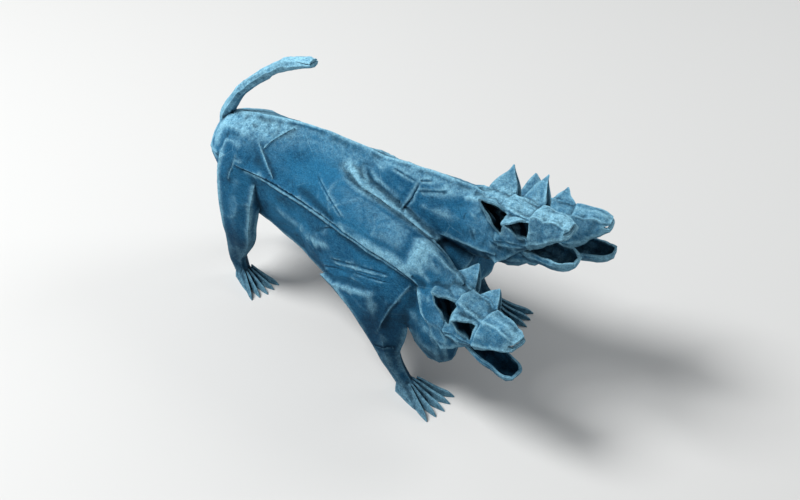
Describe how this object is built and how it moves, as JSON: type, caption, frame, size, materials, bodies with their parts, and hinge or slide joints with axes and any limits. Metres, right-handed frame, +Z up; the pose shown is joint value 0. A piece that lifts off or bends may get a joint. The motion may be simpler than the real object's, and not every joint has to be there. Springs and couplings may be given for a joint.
{
  "type": "folded paper figure",
  "caption": "Standing three-headed hound folded from one sheet of mottled blue tissue paper, with open mouths, curled ears and a raised tail.",
  "frame": {"origin": "centre of the figure's bounding box on the ground, at the height of the soles", "axes": "+X is the way the hound looks, +Y its left side, +Z up"},
  "size_m": [0.204, 0.0922, 0.1369],
  "materials": {
    "blue_tissue_paper": "matt, mottled"
  },
  "bodies": {
    "root": {"folded_hound": "blue_tissue_paper"}
  },
  "joints": []
}
